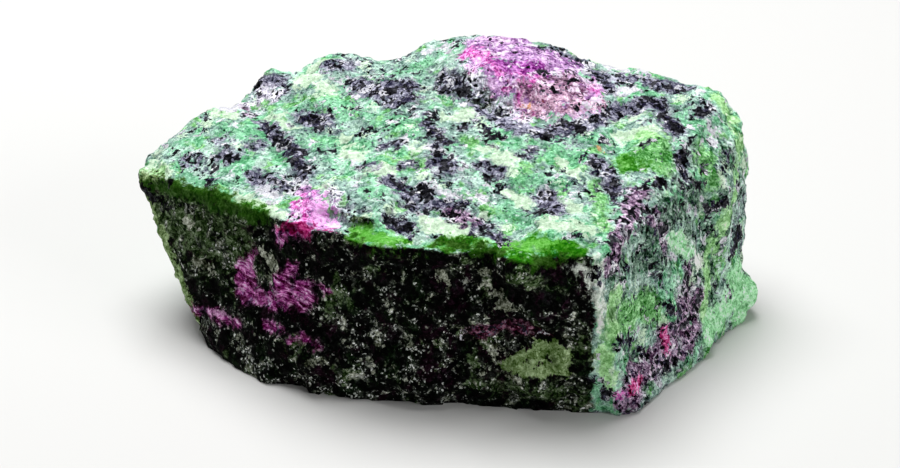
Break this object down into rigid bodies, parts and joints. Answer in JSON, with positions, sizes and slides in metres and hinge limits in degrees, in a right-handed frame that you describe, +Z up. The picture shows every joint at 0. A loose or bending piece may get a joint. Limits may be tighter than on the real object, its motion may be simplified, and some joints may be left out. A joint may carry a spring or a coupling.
{
  "type": "rough ruby in fuchsite stone",
  "caption": "Rough broken block of green rock mottled white and black, with ruby patches, resting on a flat foot.",
  "frame": {"origin": "centre of the stone's box, at the flat foot that it rests on", "axes": "+X along the stone towards its blunt end, +Y from the steep dark front to the back, +Z up"},
  "size_m": [0.0844, 0.0494, 0.0337],
  "materials": {
    "stone": "rough broken crystals, dull with fine glints"
  },
  "bodies": {
    "root": {"stone": "stone"}
  },
  "joints": []
}
